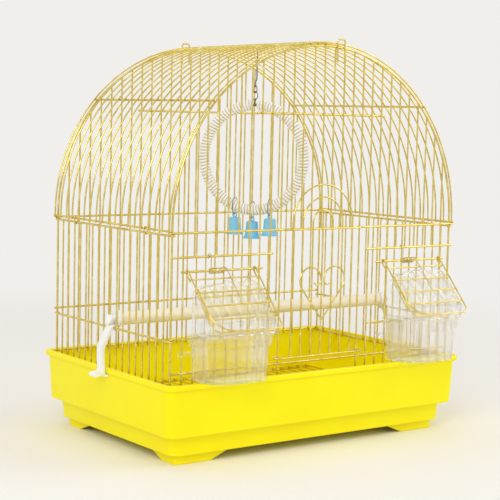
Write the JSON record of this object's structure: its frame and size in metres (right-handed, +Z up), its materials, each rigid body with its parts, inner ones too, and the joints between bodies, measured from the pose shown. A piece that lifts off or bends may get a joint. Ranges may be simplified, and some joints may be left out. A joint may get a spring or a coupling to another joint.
{
  "type": "parakeet cage",
  "caption": "Small arched wire bird cage on a moulded tray, with a sliding front door, sprung feeder flaps over clear cups, a perch and a hanging hoop toy with bells",
  "frame": {"origin": "middle of the underside of the whole cage's bounding box", "axes": "+X to the right seen from the front, +Y to the back, +Z up; the door and feeders face -Y"},
  "size_m": [0.3878, 0.2746, 0.3956],
  "materials": {
    "yellow_plastic": "injection moulded, semi-gloss yellow",
    "gold_wire": "drawn wire, brass plated",
    "spring_wire": "hard-drawn wire, brass plated",
    "steel_wire": "bright plated wire",
    "clear_plastic": "clear moulded polystyrene",
    "white_plastic": "injection moulded, white",
    "pale_wood": "sanded beech dowel, unvarnished",
    "cotton_yarn": "cotton yarn, wound",
    "blue_plastic": "injection moulded, light blue"
  },
  "bodies": {
    "cage": {"tray": "yellow_plastic", "floor_grille": "gold_wire", "front_panel": "gold_wire", "hinge_wires": "gold_wire", "door_staple": "gold_wire", "back_panel": "gold_wire", "right_side_panel": "gold_wire", "left_side_panel": "gold_wire", "roof_panel": "gold_wire", "roof_ties": "gold_wire", "perch": "pale_wood", "perch_caps": "white_plastic", "feeder_cup_left": "clear_plastic", "feeder_cup_right": "clear_plastic", "feeder_hood_left": "clear_plastic", "feeder_hood_right": "clear_plastic", "flap_springs": "spring_wire", "toy_hook": "steel_wire"},
    "door": {"front_door": "gold_wire"},
    "flap_left": {"feeder_flap_left": "gold_wire", "spring_leg_left": "spring_wire"},
    "flap_right": {"feeder_flap_right": "gold_wire", "spring_leg_right": "spring_wire"},
    "clip_left": {"side_clip_left": "white_plastic"},
    "clip_right": {"side_clip_right": "white_plastic"},
    "link": {"toy_link": "steel_wire"},
    "hoop": {"hoop_core": "steel_wire", "hoop_wrap": "cotton_yarn", "hoop_eye": "steel_wire"},
    "bell_left": {"bell_left": "blue_plastic", "bell_ring_left": "steel_wire", "bell_clapper_left": "steel_wire"},
    "bell_middle": {"bell_middle": "blue_plastic", "bell_ring_middle": "steel_wire", "bell_clapper_middle": "steel_wire"},
    "bell_right": {"bell_right": "blue_plastic", "bell_ring_right": "steel_wire", "bell_clapper_right": "steel_wire"}
  },
  "joints": [
    {"name": "door_slide", "type": "slide", "parent": "cage", "child": "door", "axis": [0, 0, 1], "range_m": [0, 0.1185]},
    {"name": "flap_left_hinge", "type": "hinge", "parent": "cage", "child": "flap_left", "pos_m": [-0.117, -0.08973, 0.1788], "axis": [-1, 0, 0], "range_deg": [0, 95], "stiffness_Nm_per_rad": 0.012},
    {"name": "flap_right_hinge", "type": "hinge", "parent": "cage", "child": "flap_right", "pos_m": [0.117, -0.08973, 0.1788], "axis": [-1, 0, 0], "range_deg": [0, 95], "stiffness_Nm_per_rad": 0.012},
    {"name": "clip_left_hinge", "type": "hinge", "parent": "cage", "child": "clip_left", "pos_m": [-0.17186, 0.01229, 0.11605], "axis": [0, 1, 0], "range_deg": [0, 35]},
    {"name": "clip_right_hinge", "type": "hinge", "parent": "cage", "child": "clip_right", "pos_m": [0.17186, 0.01229, 0.11605], "axis": [0, -1, 0], "range_deg": [0, 35]},
    {"name": "toy_link_swing", "type": "hinge", "parent": "cage", "child": "link", "pos_m": [0, 0.02409, 0.34946], "axis": [0.8131, 0.5821, 0], "range_deg": [-20, 20]},
    {"name": "hoop_swing", "type": "hinge", "parent": "link", "child": "hoop", "pos_m": [0, 0.02409, 0.33666], "axis": [0.5821, -0.8131, 0], "range_deg": [-25, 25]},
    {"name": "bell_left_swing", "type": "hinge", "parent": "hoop", "child": "bell_left", "pos_m": [-0.01106, 0.03954, 0.22795], "axis": [0.5821, -0.8131, 0], "range_deg": [-50, 50]},
    {"name": "bell_middle_swing", "type": "hinge", "parent": "hoop", "child": "bell_middle", "pos_m": [0, 0.02409, 0.22446], "axis": [0.5821, -0.8131, 0], "range_deg": [-50, 50]},
    {"name": "bell_right_swing", "type": "hinge", "parent": "hoop", "child": "bell_right", "pos_m": [0.01106, 0.00864, 0.22795], "axis": [0.5821, -0.8131, 0], "range_deg": [-50, 50]}
  ]
}
